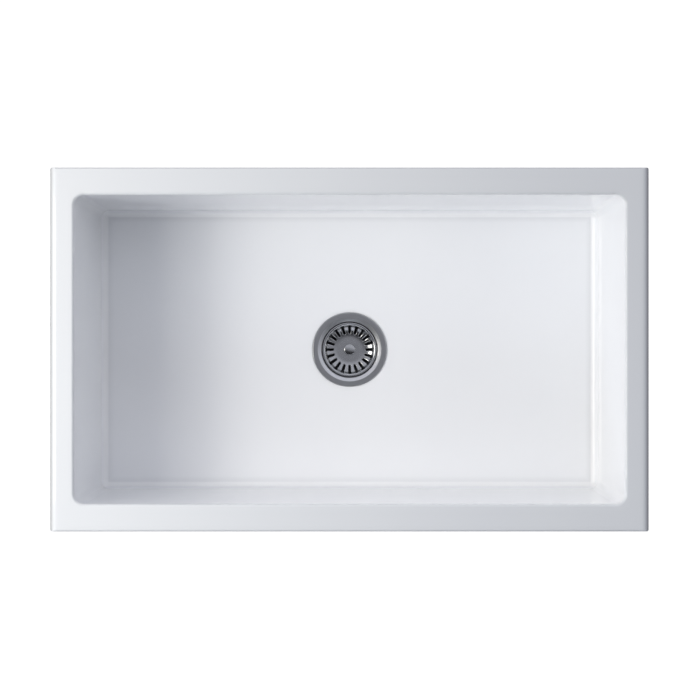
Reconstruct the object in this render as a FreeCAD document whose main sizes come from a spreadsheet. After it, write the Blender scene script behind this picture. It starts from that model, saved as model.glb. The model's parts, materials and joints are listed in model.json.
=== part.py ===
import FreeCAD, Part
import Sketcher
import math
import os
import re

# Ceramic kitchen sink with a basket strainer waste.
# Millimetres and degrees. The origin is on the drain axis, in the plane of the foot ring,
# X along the length of the bowl, +Y to the back and +Z up.

# Driving sizes
SIZES = {
    # Bowl, seen from above and in section
    "rim_length": 838.0,
    "rim_width": 508.0,
    "bowl_depth": 222.0,
    "slab_thickness": 22.0,
    "foot_height": 10.0,
    "foot_width": 55.0,
    "foot_corner": 30.0,
    "foot_round": 3.0,
    "end_wall": 34.5,
    "front_wall": 38.0,
    "outer_corner": 3.5,
    "inner_corner": 15.0,
    "low_corner": 12.5,
    "outer_draft": 1.4,
    "inner_draft": 0.5,
    "end_round": 11.0,
    "side_round": 3.5,
    "lip_round": 4.0,
    "floor_round": 11.0,
    "floor_fall": 3.0,
    # Drain hole
    "hole_gap": 2.8,
    "hole_chamfer": 3.0,
    "seat_depth": 0.6,
    "seat_margin": 0.8,
    # Waste body, from the outlet outwards
    "outlet_bore": 41.0,
    "seat_ring": 5.5,
    "cup_bore": 80.0,
    "ledge_width": 3.3,
    "ledge_drop": 2.0,
    "funnel_run": 6.0,
    "funnel_drop": 5.5,
    "throat_run": 0.7,
    "throat_drop": 1.6,
    "throat_round": 0.5,
    "flange_band": 5.6,
    "flange_edge": 2.9,
    "flange_thickness": 1.4,
    "flange_round": 1.6,
    "edge_gap": 0.2,
    "barrel_wall": 3.2,
    "bottom_wall": 2.5,
    "cone_drop": 5.0,
    "thread_spare": 5.0,
    "neck_wall": 3.4,
    "neck_length": 20.0,
    # Seals and nut that clamp the waste body
    "seal_thickness": 1.5,
    "seal_inset": 1.4,
    "barrel_gap": 0.6,
    "gasket_thickness": 5.0,
    "gasket_width": 12.5,
    "card_thickness": 1.5,
    "card_width": 11.5,
    "locknut_height": 11.0,
    "locknut_wall": 8.0,
    "lug_reach": 5.5,
    "lug_width": 13.0,
    "lug_corner": 1.8,
    "lug_count": 6,
    "thread_gap": 0.1,
    # Tailpiece and its nut
    "washer_thickness": 2.0,
    "tail_diameter": 38.1,
    "tail_wall": 1.25,
    "tail_length": 76.0,
    "tail_flange": 1.5,
    "tail_relief": 0.25,
    "coupling_wall": 4.2,
    "coupling_grip": 13.0,
    "coupling_shoulder": 4.0,
    "coupling_gap": 0.35,
    "coupling_chamfer": 2.0,
    # Basket
    "sheet_thickness": 0.9,
    "lip_gap": 1.5,
    "lip_width": 3.4,
    "ledge_gap": 0.2,
    "basket_depth": 20.4,
    "basket_lean": 1.6,
    "basket_corner": 3.0,
    "dish_radius": 26.0,
    "dish_rise": 5.0,
    "dish_round": 34.0,
    "bend_round": 1.2,
    "slot_count": 20,
    "slot_width": 3.8,
    "slot_corner": 1.75,
    "slot_margin": 0.9,
    "slot_length": 11.1,
    # Post, bush and knob
    "post_diameter": 6.0,
    "post_gap": 0.06,
    "bush_wall": 1.9,
    "bush_gap": 0.03,
    "bush_flange": 3.5,
    "bush_flange_height": 1.2,
    "bush_length": 6.2,
    "collar_height": 1.8,
    "ring_section": 1.1,
    "ring_height": 2.0,
    "ring_gap": 0.05,
    "knob_diameter": 17.0,
    "knob_height": 10.6,
    "knob_neck": 10.0,
    "knob_neck_height": 2.6,
    "knob_flare": 2.6,
    "knob_edge": 0.85,
    "knob_dome": 1.5,
    "knob_crown": 21.0,
    "knob_hole": 6.0,
    "knob_gap": 0.3,
    # Stopper
    "stopper_gap": 0.3,
    "stopper_overlap": 3.6,
    "stopper_thickness": 4.0,
    "stopper_lip": 1.0,
    "plate_thickness": 1.2,
    "plate_inset": 3.5,
    "post_collar": 2.2,
    "post_collar_height": 1.5,
    "small_washer": 6.0,
    "small_washer_thickness": 1.0,
    "small_nut": 10.0,
    "small_nut_height": 5.0,
    "post_spare": 1.5,
    "fit_gap": 0.02,
}

# Heights above the foot plane, worked out from the sizes
HEIGHT = "(foot_height + slab_thickness + bowl_depth)"
FLOOR = "(foot_height + slab_thickness)"
SEAT = f"({FLOOR} - seat_depth)"
FLANGE_UNDER = f"({SEAT} + seal_thickness)"
FLANGE_TOP = f"({FLANGE_UNDER} + flange_thickness)"
THROAT = f"({FLANGE_TOP} - throat_drop)"
FUNNEL_FOOT = f"({FLANGE_TOP} - funnel_drop)"
LEDGE = f"({FUNNEL_FOOT} - ledge_drop)"
GASKET_UNDER = "(foot_height - gasket_thickness)"
CARD_UNDER = f"({GASKET_UNDER} - card_thickness)"
LOCKNUT_UNDER = f"({CARD_UNDER} - locknut_height)"
BARREL_UNDER = f"({LOCKNUT_UNDER} - thread_spare)"
CUP_EDGE = f"({BARREL_UNDER} + bottom_wall)"
OUTLET_SEAT = f"({CUP_EDGE} - cone_drop)"
NECK_UNDER = f"({OUTLET_SEAT} - bottom_wall - neck_length)"
WASHER_UNDER = f"({NECK_UNDER} - washer_thickness)"
TAIL_FLANGE_UNDER = f"({WASHER_UNDER} - tail_flange)"
COUPLING_UNDER = f"({TAIL_FLANGE_UNDER} - coupling_shoulder)"
COUPLING_TOP = f"({NECK_UNDER} + coupling_grip)"
TAIL_END = f"({WASHER_UNDER} - tail_length)"
LIP_UNDER = f"({LEDGE} + ledge_gap)"
LIP_TOP = f"({LIP_UNDER} + sheet_thickness)"
BASKET_FLOOR = f"({LIP_TOP} - basket_depth)"
BASKET_UNDER = f"({BASKET_FLOOR} - sheet_thickness)"
BUSH_TOP = f"({BASKET_FLOOR} + bush_flange_height)"
BUSH_UNDER = f"({BASKET_UNDER} - bush_length)"
KNOB_UNDER = f"({BUSH_TOP} + knob_gap)"
KNOB_TOP = f"({KNOB_UNDER} + knob_height)"
SEAL_UNDER = f"({OUTLET_SEAT} + stopper_gap)"
SEAL_TOP = f"({SEAL_UNDER} + stopper_thickness)"
PLATE_TOP = f"({SEAL_TOP} + plate_thickness)"
COLLAR_TOP = f"({PLATE_TOP} + post_collar_height)"
SMALL_WASHER_UNDER = f"({SEAL_UNDER} - small_washer_thickness)"
SMALL_NUT_UNDER = f"({SMALL_WASHER_UNDER} - small_nut_height)"
POST_END = f"({SMALL_NUT_UNDER} - post_spare)"
POST_TOP = f"({KNOB_UNDER} + knob_hole)"

# Radii about the drain axis, worked out from the sizes
OUTLET_R = "(outlet_bore / 2)"
SEAT_RING_R = f"({OUTLET_R} + seat_ring)"
CUP_R = "(cup_bore / 2)"
FUNNEL_R = f"({CUP_R} + ledge_width)"
THROAT_R = f"({FUNNEL_R} + throat_run)"
MOUTH_R = f"({FUNNEL_R} + funnel_run)"
BAND_R = f"({MOUTH_R} + flange_band)"
FLANGE_R = f"({BAND_R} + flange_edge)"
BARREL_R = f"({CUP_R} + barrel_wall)"
HOLE_R = f"({BARREL_R} + hole_gap)"
SEAT_R = f"({FLANGE_R} + seat_margin)"
NECK_R = f"({OUTLET_R} + neck_wall)"
TAIL_R = "(tail_diameter / 2)"
COUPLING_R = f"({NECK_R} + thread_gap)"
LIP_R = f"({FUNNEL_R} - lip_gap)"
WALL_TOP_R = f"({LIP_R} - lip_width)"
WALL_FOOT_R = f"({WALL_TOP_R} - basket_lean)"
POST_R = "(post_diameter / 2)"
BUSH_BORE_R = f"({POST_R} + post_gap)"
BUSH_R = f"({BUSH_BORE_R} + bush_wall)"
FIT_R = f"({POST_R} + fit_gap)"
STOPPER_R = f"({OUTLET_R} + stopper_overlap)"

# Lengths of the bowl's own outlines
FOOT_LENGTH = f"(rim_length - 2 * {HEIGHT} * tan(outer_draft))"
FOOT_WIDTH = f"(rim_width - 2 * {HEIGHT} * tan(outer_draft))"
OPENING_LENGTH = "(rim_length - 2 * end_wall)"
OPENING_WIDTH = "(rim_width - 2 * front_wall)"
CORE_FOOT = f"({FLOOR} - 2 * floor_fall)"
LOW_LENGTH = f"({OPENING_LENGTH} - 2 * ({HEIGHT} - {CORE_FOOT}) * tan(inner_draft))"
LOW_WIDTH = f"({OPENING_WIDTH} - 2 * ({HEIGHT} - {CORE_FOOT}) * tan(inner_draft))"

# A full turn in degrees, the sides of a nut, and heights taken as the same, in millimetres
FULL_TURN = 360
HEX_SIDES = 6
SAME = 0.01

doc = FreeCAD.newDocument("kitchen_sink")
sheet = doc.addObject("Spreadsheet::Sheet", "sizes")


def fill_sheet():
    """One row for each driving size: its name, and its number under that alias."""
    for row, (name, number) in enumerate(SIZES.items(), start=1):
        sheet.set(f"A{row}", name)
        sheet.set(f"B{row}", str(number))
        sheet.setAlias(f"B{row}", name)
    doc.recompute()


def bound(text):
    """The same formula with each size's name pointing at its cell."""
    return re.sub(r"[a-z_]+", lambda word: f"sizes.{word[0]}" if word[0] in SIZES else word[0], text)


def value(text):
    """What a formula of sizes comes to now."""
    return float(sheet.evalExpression(text))


def new_body(label):
    """An empty body whose label is the sub-part's name."""
    body = doc.addObject("PartDesign::Body", label)
    body.Label = label
    return body


def origin_feature(body, role):
    """One of the body's own planes or axes."""
    return next(feature for feature in body.Origin.OriginFeatures if feature.Role == role)


def bind(sketch, index, text):
    """Ties one dimension of a sketch to a formula of sizes."""
    sketch.setExpression(f"Constraints[{index}]", bound(text))


def outline(body, name, role, corners, height="0"):
    """A closed outline through corners (x, y) or, with a rounded corner, (x, y, radius).

    Each corner is a fixed point of the sketch. Its two lines pass through it, and an arc
    that touches both rounds it off.
    """
    sketch = body.newObject("Sketcher::SketchObject", name)
    sketch.AttachmentSupport = [(origin_feature(body, role), "")]
    sketch.MapMode = "FlatFace"
    if height != "0":
        sketch.setExpression("AttachmentOffset.Base.z", bound(height))
    count = len(corners)
    spots = [FreeCAD.Vector(value(corner[0]), value(corner[1]), 0) for corner in corners]
    starts = list(spots)
    ends = list(spots)
    arcs = {}
    for index, corner in enumerate(corners):
        if len(corner) < 3:
            continue
        radius = value(corner[2])
        back = (spots[index - 1] - spots[index]).normalize()
        ahead = (spots[(index + 1) % count] - spots[index]).normalize()
        half_angle = back.getAngle(ahead) / 2
        reach = radius / math.tan(half_angle)
        starts[index] = spots[index] + back * reach
        ends[index] = spots[index] + ahead * reach
        centre = spots[index] + (back + ahead).normalize() * (radius / math.sin(half_angle))
        turns_left = ahead.cross(back).z > 0
        first = starts[index] if turns_left else ends[index]
        last = ends[index] if turns_left else starts[index]
        angles = [math.atan2(spot.y - centre.y, spot.x - centre.x) for spot in (first, last)]
        circle = Part.Circle(centre, FreeCAD.Vector(0, 0, 1), radius)
        arcs[index] = (Part.ArcOfCircle(circle, *angles), turns_left)
    lines = []
    for index in range(count):
        segment = Part.LineSegment(ends[index], starts[(index + 1) % count])
        lines.append(sketch.addGeometry(segment, False))
    for index, corner in enumerate(corners):
        point = sketch.addGeometry(Part.Point(spots[index]), True)
        for text, kind, axis, number in (
            (corner[0], "DistanceX", -2, spots[index].x),
            (corner[1], "DistanceY", -1, spots[index].y),
        ):
            if text == "0":
                sketch.addConstraint(Sketcher.Constraint("PointOnObject", point, 1, axis))
            else:
                bind(sketch, sketch.addConstraint(Sketcher.Constraint(kind, -1, 1, point, 1, number)), text)
        before = lines[index - 1]
        after = lines[index]
        if index not in arcs:
            sketch.addConstraint(Sketcher.Constraint("Coincident", before, 2, point, 1))
            sketch.addConstraint(Sketcher.Constraint("Coincident", after, 1, point, 1))
            continue
        curve, turns_left = arcs[index]
        arc = sketch.addGeometry(curve, False)
        joins = (1, 2) if turns_left else (2, 1)
        sketch.addConstraint(Sketcher.Constraint("PointOnObject", point, 1, before))
        sketch.addConstraint(Sketcher.Constraint("PointOnObject", point, 1, after))
        sketch.addConstraint(Sketcher.Constraint("Tangent", before, 2, arc, joins[0]))
        sketch.addConstraint(Sketcher.Constraint("Tangent", arc, joins[1], after, 1))
        bind(sketch, sketch.addConstraint(Sketcher.Constraint("Radius", arc, curve.Radius)), corner[2])
    return sketch


def rectangle(length, width, *corner):
    """Corners of a rectangle about the origin, sharp or all rounded by the same radius."""
    signs = ((1, 1), (-1, 1), (-1, -1), (1, -1))
    return [(f"{along} * {length} / 2", f"{across} * {width} / 2", *corner) for along, across in signs]


def hexagon(across_flats):
    """Corners of a hexagon about the origin with two corners on the X axis."""
    reach = f"{across_flats} / sqrt(3)"
    angles = [side * FULL_TURN // HEX_SIDES for side in range(HEX_SIDES)]
    half_turn = FULL_TURN // 2
    return [
        (f"{reach} * cos({angle})", "0" if angle % half_turn == 0 else f"{reach} * sin({angle})")
        for angle in angles
    ]


def swept(body, kind, name, sketch, length, taper="0", reverse=False, symmetric=False):
    """A pad or a pocket of a sketch, to a bound length, to one side of it or to both."""
    feature = body.newObject(f"PartDesign::{kind}", name)
    feature.Profile = sketch
    feature.Reversed = reverse
    feature.SideType = "Symmetric" if symmetric else "One side"
    feature.setExpression("Length", bound(length))
    if taper != "0":
        feature.setExpression("TaperAngle", bound(taper))
    doc.recompute()
    return feature


def turned(body, kind, name, corners):
    """A full turn about the drain axis of an outline of (radius, height) corners."""
    sketch = outline(body, f"{name}_profile", "XZ_Plane", corners)
    feature = body.newObject(f"PartDesign::{kind}", name)
    feature.Profile = sketch
    feature.ReferenceAxis = (sketch, ["V_Axis"])
    feature.Angle = FULL_TURN
    doc.recompute()
    return feature


def rounded(body, name, chosen, radius):
    """A fillet on the edges of the body's tip that the test picks."""
    base = body.Tip
    names = [f"Edge{place}" for place, edge in enumerate(base.Shape.Edges, start=1) if chosen(edge)]
    feature = body.newObject("PartDesign::Fillet", name)
    feature.Base = (base, names)
    feature.setExpression("Radius", bound(radius))
    doc.recompute()
    return feature


def ring_of(body, name, feature, count):
    """Copies of a feature all round the drain axis."""
    pattern = body.newObject("PartDesign::PolarPattern", name)
    pattern.Originals = [feature]
    pattern.Axis = (origin_feature(body, "Z_Axis"), [""])
    pattern.Angle = FULL_TURN
    pattern.setExpression("Occurrences", bound(count))
    body.Tip = pattern
    doc.recompute()
    return pattern


def ring(label, inner, outer, under, top):
    """A flat ring about the drain axis."""
    body = new_body(label)
    turned(body, "Revolution", "ring", [(inner, under), (outer, under), (outer, top), (inner, top)])
    return body


def level(edge, height):
    """Whether an edge lies in one level plane at a height."""
    box = edge.BoundBox
    return abs(box.ZMin - height) < SAME and abs(box.ZMax - height) < SAME


# Glazed bowl
def bowl_core():
    """The space inside the bowl: drafted walls whose corners tighten downwards, a cove all round,
    and a floor that falls to the drain as a shallow cone."""
    body = new_body("bowl_core")
    opening = outline(body, "opening", "XY_Plane",
                      rectangle(OPENING_LENGTH, OPENING_WIDTH, "inner_corner"), HEIGHT)
    wall_foot = outline(body, "wall_foot", "XY_Plane",
                        rectangle(LOW_LENGTH, LOW_WIDTH, "low_corner"), CORE_FOOT)
    walls = body.newObject("PartDesign::AdditiveLoft", "walls")
    walls.Profile = opening
    walls.Sections = [wall_foot]
    walls.Ruled = True
    doc.recompute()
    half_length = f"({LOW_LENGTH} / 2)"
    far = f"({half_length} + rim_width)"
    far_rise = f"(floor_fall * ({far} - {SEAT_R}) / ({half_length} - {SEAT_R}))"
    below = f"({CORE_FOOT} - floor_fall)"
    turned(body, "Groove", "dish", [
        ("0", below),
        (far, below),
        (far, f"{FLOOR} + {far_rise}"),
        (SEAT_R, FLOOR),
        ("0", FLOOR),
    ])
    lowest = value(FLOOR) + SAME
    highest = value(f"{FLOOR} + 2 * floor_fall")
    rounded(body, "cove", lambda edge: edge.BoundBox.ZMin > lowest and edge.BoundBox.ZMax < highest,
            "floor_round")
    return body


def planed_edges(body, name, role, half, radius, length):
    """Two opposite top edges of the rim, each rounded by a cut that runs straight past the corners."""
    for side, sign in (("far", "1"), ("near", "-1")):
        face = f"{sign} * {half}"
        inner = f"{sign} * ({half} - 2 * {radius})"
        outer = f"{sign} * ({half} + {radius})"
        under = f"{HEIGHT} - 2 * {radius}"
        above = f"{HEIGHT} + {radius}"
        profile = outline(body, f"{name}_{side}_profile", role, [
            (inner, HEIGHT),
            (face, HEIGHT, radius),
            (face, under),
            (outer, under),
            (outer, above),
            (inner, above),
        ])
        swept(body, "Pocket", f"{name}_{side}", profile, length, symmetric=True)


def sink_bowl():
    """The casting: a drafted block, hollowed by the core, with a foot ring and a drain hole."""
    core = bowl_core()
    body = new_body("sink_bowl")
    rim = outline(body, "rim", "XY_Plane", rectangle("rim_length", "rim_width", "outer_corner"), HEIGHT)
    swept(body, "Pad", "block", rim, HEIGHT, "-outer_draft", reverse=True)
    planed_edges(body, "end_edge", "XZ_Plane", "rim_length / 2", "end_round", "2 * rim_width")
    planed_edges(body, "side_edge", "YZ_Plane", "rim_width / 2", "side_round", "2 * rim_length")
    hollow = body.newObject("PartDesign::Boolean", "hollow")
    hollow.Type = "Cut"
    hollow.setObjects([core])
    doc.recompute()
    recess = outline(body, "recess", "XY_Plane", rectangle(
        f"({FOOT_LENGTH} - 2 * foot_width)", f"({FOOT_WIDTH} - 2 * foot_width)", "foot_corner"))
    swept(body, "Pocket", "underside_recess", recess, "foot_height", reverse=True)
    turned(body, "Groove", "drain_hole", [
        ("0", f"-{FLOOR}"),
        (HOLE_R, f"-{FLOOR}"),
        (HOLE_R, f"{SEAT} - hole_chamfer"),
        (f"{HOLE_R} + hole_chamfer", SEAT),
        (SEAT_R, SEAT),
        (SEAT_R, f"{FLOOR} + floor_fall"),
        ("0", f"{FLOOR} + floor_fall"),
    ])
    top = value(HEIGHT)
    inside = value(f"{OPENING_LENGTH} / 2 + end_wall / 2")
    across = value(f"{OPENING_WIDTH} / 2 + front_wall / 2")

    def on_lip(edge):
        centre = edge.CenterOfMass
        return level(edge, top) and abs(centre.x) < inside and abs(centre.y) < across

    rounded(body, "lip_edge", on_lip, "lip_round")
    foot_inside = value(f"{FOOT_LENGTH} / 2 - foot_width / 2")
    foot_across = value(f"{FOOT_WIDTH} / 2 - foot_width / 2")
    rounded(body, "foot_edge", lambda edge: level(edge, 0) and (
        abs(edge.CenterOfMass.x) > foot_inside or abs(edge.CenterOfMass.y) > foot_across), "foot_round")
    return body


# Waste body and what clamps it
def strainer_body():
    """Flange, funnel, ledge, threaded barrel, outlet seat and neck in one turned profile."""
    body = new_body("strainer_body")
    turned(body, "Revolution", "waste", [
        (FLANGE_R, f"{SEAT} + edge_gap"),
        (FLANGE_R, FLANGE_TOP, "flange_round"),
        (MOUTH_R, FLANGE_TOP, "bend_round"),
        (THROAT_R, THROAT, "throat_round"),
        (FUNNEL_R, FUNNEL_FOOT),
        (FUNNEL_R, LEDGE),
        (CUP_R, LEDGE),
        (CUP_R, CUP_EDGE),
        (SEAT_RING_R, OUTLET_SEAT),
        (OUTLET_R, OUTLET_SEAT),
        (OUTLET_R, NECK_UNDER),
        (NECK_R, NECK_UNDER),
        (NECK_R, f"{OUTLET_SEAT} - bottom_wall"),
        (f"{SEAT_RING_R} + bottom_wall", f"{OUTLET_SEAT} - bottom_wall"),
        (BARREL_R, BARREL_UNDER),
        (BARREL_R, f"{LEDGE} - flange_thickness"),
        (f"{FUNNEL_R} + flange_thickness", f"{LEDGE}"),
        (f"{FUNNEL_R} + flange_thickness", FUNNEL_FOOT),
        (f"{MOUTH_R} + flange_thickness / 2", FLANGE_UNDER),
        (f"{FLANGE_R} - flange_thickness", FLANGE_UNDER),
        (f"{FLANGE_R} - flange_thickness", f"{SEAT} + edge_gap"),
    ])
    return body


def flange_seal():
    return ring("flange_seal", f"{MOUTH_R} + flange_thickness / 2 + seal_inset / 2",
                f"{FLANGE_R} - flange_thickness - seal_inset / 2", SEAT, FLANGE_UNDER)


def sink_gasket():
    inner = f"({BARREL_R} + barrel_gap)"
    return ring("sink_gasket", inner, f"{inner} + gasket_width", GASKET_UNDER, "foot_height")


def friction_ring():
    inner = f"({BARREL_R} + barrel_gap)"
    return ring("friction_ring", inner, f"{inner} + card_width", CARD_UNDER, GASKET_UNDER)


def locknut():
    """A ring with lugs for a spanner or a bar."""
    inner = f"({BARREL_R} + thread_gap)"
    outer = f"({inner} + locknut_wall)"
    body = ring("locknut", inner, outer, LOCKNUT_UNDER, CARD_UNDER)
    root = f"({outer} - locknut_wall / 2)"
    tip = f"({outer} + lug_reach)"
    plan = outline(body, "lug_plan", "XY_Plane", [
        (root, "-lug_width / 2"),
        (tip, "-lug_width / 2", "lug_corner"),
        (tip, "lug_width / 2", "lug_corner"),
        (root, "lug_width / 2"),
    ], LOCKNUT_UNDER)
    lug = swept(body, "Pad", "lug", plan, "locknut_height")
    ring_of(body, "lugs", lug, "lug_count")
    return body


# Tailpiece and its nut
def tailpiece_washer():
    return ring("tailpiece_washer", OUTLET_R, NECK_R, WASHER_UNDER, NECK_UNDER)


def tailpiece():
    """A tube with a flange at its top and a slightly slimmer stretch where the nut passes."""
    body = new_body("tailpiece")
    bore = f"({TAIL_R} - tail_wall)"
    slim = f"({TAIL_R} - tail_relief)"
    turned(body, "Revolution", "tube", [
        (bore, TAIL_END),
        (TAIL_R, TAIL_END),
        (TAIL_R, COUPLING_UNDER),
        (slim, COUPLING_UNDER),
        (slim, TAIL_FLANGE_UNDER),
        (NECK_R, TAIL_FLANGE_UNDER),
        (NECK_R, WASHER_UNDER),
        (bore, WASHER_UNDER),
    ])
    return body


def coupling_nut():
    """A hexagon bored for the neck, with a shoulder under the tailpiece's flange and turned corners."""
    body = new_body("coupling_nut")
    flats = f"(2 * ({COUPLING_R} + coupling_wall))"
    corner = f"({flats} / sqrt(3))"
    plan = outline(body, "plan", "XY_Plane", hexagon(flats), COUPLING_UNDER)
    swept(body, "Pad", "block", plan, f"({COUPLING_TOP} - {COUPLING_UNDER})")
    turned(body, "Groove", "bore", [
        ("0", f"{COUPLING_UNDER} - coupling_shoulder"),
        (f"{TAIL_R} + coupling_gap", f"{COUPLING_UNDER} - coupling_shoulder"),
        (f"{TAIL_R} + coupling_gap", TAIL_FLANGE_UNDER),
        (COUPLING_R, TAIL_FLANGE_UNDER),
        (COUPLING_R, f"{COUPLING_TOP} + coupling_shoulder"),
        ("0", f"{COUPLING_TOP} + coupling_shoulder"),
    ])
    far = f"({corner} + coupling_wall)"
    fall = "(coupling_chamfer + coupling_wall / 2)"
    for name, edge, way in (("top_corners", COUPLING_TOP, -1), ("under_corners", COUPLING_UNDER, 1)):
        turned(body, "Groove", name, [
            (f"{flats} / 2", edge),
            (far, f"{edge} + {way} * {fall}"),
            (far, f"{edge} - {way} * {fall}"),
            (f"{flats} / 2", f"{edge} - {way} * {fall}"),
        ])
    return body


# Basket with its bush
def basket_shell():
    """A pressed cup with a flat lip, a dished floor and a ring of slots in that dish."""
    body = new_body("basket_shell")
    hole = f"({BUSH_R} + bush_gap)"
    slope = f"dish_rise / ({WALL_FOOT_R} - dish_radius)"
    foot_under = f"{BASKET_UNDER} + {slope} * ({WALL_FOOT_R} + sheet_thickness - dish_radius)"
    turned(body, "Revolution", "cup", [
        (LIP_R, LIP_UNDER),
        (LIP_R, LIP_TOP),
        (WALL_TOP_R, LIP_TOP, "bend_round + sheet_thickness"),
        (WALL_FOOT_R, f"{BASKET_FLOOR} + dish_rise", "basket_corner"),
        ("dish_radius", BASKET_FLOOR, "dish_round"),
        (hole, BASKET_FLOOR),
        (hole, BASKET_UNDER),
        ("dish_radius", BASKET_UNDER, "dish_round"),
        (f"{WALL_FOOT_R} + sheet_thickness", foot_under, "basket_corner + sheet_thickness"),
        (f"{WALL_TOP_R} + sheet_thickness", LIP_UNDER, "bend_round"),
    ])
    end = f"({WALL_FOOT_R} - slot_margin)"
    start = f"({end} - slot_length)"
    side = "slot_width / 2"
    plan = outline(body, "slot_plan", "XY_Plane", [
        (start, f"-{side}", "slot_corner"),
        (end, f"-{side}", "slot_corner"),
        (end, side, "slot_corner"),
        (start, side, "slot_corner"),
    ], BASKET_UNDER + " - basket_depth")
    slot = swept(body, "Pocket", "slot", plan, "2 * basket_depth", reverse=True)
    ring_of(body, "slots", slot, "slot_count")
    return body


def post_bush():
    """A flanged bush with a groove in its bore for the small rubber ring."""
    body = new_body("post_bush")
    groove = f"({POST_R} + 2 * ring_gap + ring_section)"
    low = f"({BUSH_UNDER} + ring_height)"
    high = f"({low} + ring_section + 2 * ring_gap)"
    turned(body, "Revolution", "bush", [
        (BUSH_BORE_R, BUSH_UNDER),
        (BUSH_R, BUSH_UNDER),
        (BUSH_R, BASKET_FLOOR),
        (f"{BUSH_R} + bush_flange", BASKET_FLOOR),
        (f"{BUSH_R} + bush_flange", BUSH_TOP, "bush_flange_height / 2"),
        (BUSH_BORE_R, BUSH_TOP),
        (BUSH_BORE_R, high),
        (groove, high),
        (groove, low),
        (BUSH_BORE_R, low),
    ])
    return body


def bush_collar():
    return ring("bush_collar", f"{BUSH_R} + fit_gap", f"{BUSH_R} + bush_flange",
                f"{BASKET_UNDER} - collar_height", BASKET_UNDER)


def post_ring():
    """A round-section rubber ring in the bush's groove."""
    body = doc.addObject("Part::Torus", "post_ring")
    body.Label = "post_ring"
    body.setExpression("Radius1", bound(f"{POST_R} + ring_gap + ring_section / 2"))
    body.setExpression("Radius2", bound("ring_section / 2"))
    body.setExpression("Placement.Base.z", bound(f"{BUSH_UNDER} + ring_height + ring_gap + ring_section / 2"))
    doc.recompute()
    return body


# Knob, post and stopper
def pull_knob():
    """A mushroom knob with a blind hole for the post."""
    body = new_body("pull_knob")
    waist = f"({KNOB_UNDER} + knob_neck_height)"
    turned(body, "Revolution", "knob", [
        (FIT_R, KNOB_UNDER),
        ("knob_neck / 2", KNOB_UNDER),
        ("knob_neck / 2", waist),
        ("knob_diameter / 2", f"{waist} + knob_flare", "knob_edge"),
        ("knob_diameter / 2", f"{KNOB_TOP} - knob_dome", "knob_edge"),
        ("knob_diameter / 4", KNOB_TOP, "knob_crown"),
        ("0", KNOB_TOP),
        ("0", POST_TOP),
        (FIT_R, POST_TOP),
    ])
    return body


def stopper_post():
    """A rod with a collar that bears on the stopper's plate."""
    body = new_body("stopper_post")
    turned(body, "Revolution", "rod", [
        ("0", POST_END),
        (POST_R, POST_END),
        (POST_R, PLATE_TOP),
        (f"{POST_R} + post_collar", PLATE_TOP),
        (f"{POST_R} + post_collar", COLLAR_TOP),
        (POST_R, COLLAR_TOP),
        (POST_R, POST_TOP),
        ("0", POST_TOP),
    ])
    return body


def stopper_plate():
    return ring("stopper_plate", FIT_R, f"{STOPPER_R} - plate_inset", SEAL_TOP, PLATE_TOP)


def stopper_seal():
    """A rubber disc whose rim thins to a lip."""
    body = new_body("stopper_seal")
    turned(body, "Revolution", "disc", [
        (FIT_R, SEAL_UNDER),
        (STOPPER_R, SEAL_UNDER),
        (STOPPER_R, f"{SEAL_UNDER} + stopper_lip"),
        (f"{STOPPER_R} - plate_inset / 2", SEAL_TOP),
        (FIT_R, SEAL_TOP),
    ])
    return body


def stopper_washer():
    return ring("stopper_washer", FIT_R, f"{POST_R} + small_washer", SMALL_WASHER_UNDER, SEAL_UNDER)


def stopper_nut():
    """A small hexagon nut."""
    body = new_body("stopper_nut")
    plan = outline(body, "plan", "XY_Plane", hexagon("small_nut"), SMALL_NUT_UNDER)
    swept(body, "Pad", "block", plan, "small_nut_height")
    turned(body, "Groove", "bore", [
        ("0", POST_END),
        (FIT_R, POST_END),
        (FIT_R, SEAL_UNDER),
        ("0", SEAL_UNDER),
    ])
    return body


SUB_PARTS = (
    sink_bowl, flange_seal, strainer_body, sink_gasket, friction_ring, locknut,
    tailpiece_washer, tailpiece, coupling_nut,
    basket_shell, post_bush, bush_collar, post_ring,
    pull_knob, stopper_post, stopper_plate, stopper_seal, stopper_washer, stopper_nut,
)


def check(made):
    """Stops if any object failed, or a sub-part has no sound solid."""
    for thing in doc.Objects:
        if {"Invalid", "Error"} & set(thing.State):
            raise RuntimeError(f"{thing.Label} failed: {thing.State}")
    for thing in made:
        if thing.Shape.isNull() or not thing.Shape.isValid() or len(thing.Shape.Solids) != 1:
            raise RuntimeError(f"{thing.Label} has no sound solid")


fill_sheet()
CUBIC_CM = 1000.0
made = [build() for build in SUB_PARTS]
doc.recompute()
check(made)
os.makedirs("parts", exist_ok=True)
for thing in made:
    thing.Shape.exportStep(os.path.join("parts", f"{thing.Label}.step"))
    box = thing.Shape.BoundBox
    print(f"{thing.Label}: {thing.Shape.Volume / CUBIC_CM:.2f} cm3, "
          f"{box.XLength:.1f} x {box.YLength:.1f} x {box.ZLength:.1f} mm, z {box.ZMin:.2f} to {box.ZMax:.2f}")
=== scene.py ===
# %% [markdown]
# # A fireclay kitchen sink with a basket strainer
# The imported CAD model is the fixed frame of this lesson. It gives every piece at its real size and
# says which body each piece moves with. Here the pieces get the surfaces that the eye meets: thick
# glaze with soft edges, spun and pressed stainless steel, brass, rubber. All lengths of the sink are
# real millimetres, and Blender works in metres, so one factor turns the first into the second. Only the
# studio round the sink, its lights and its floor, is laid out in metres.

# %% Load the frame
import json
import math

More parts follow.
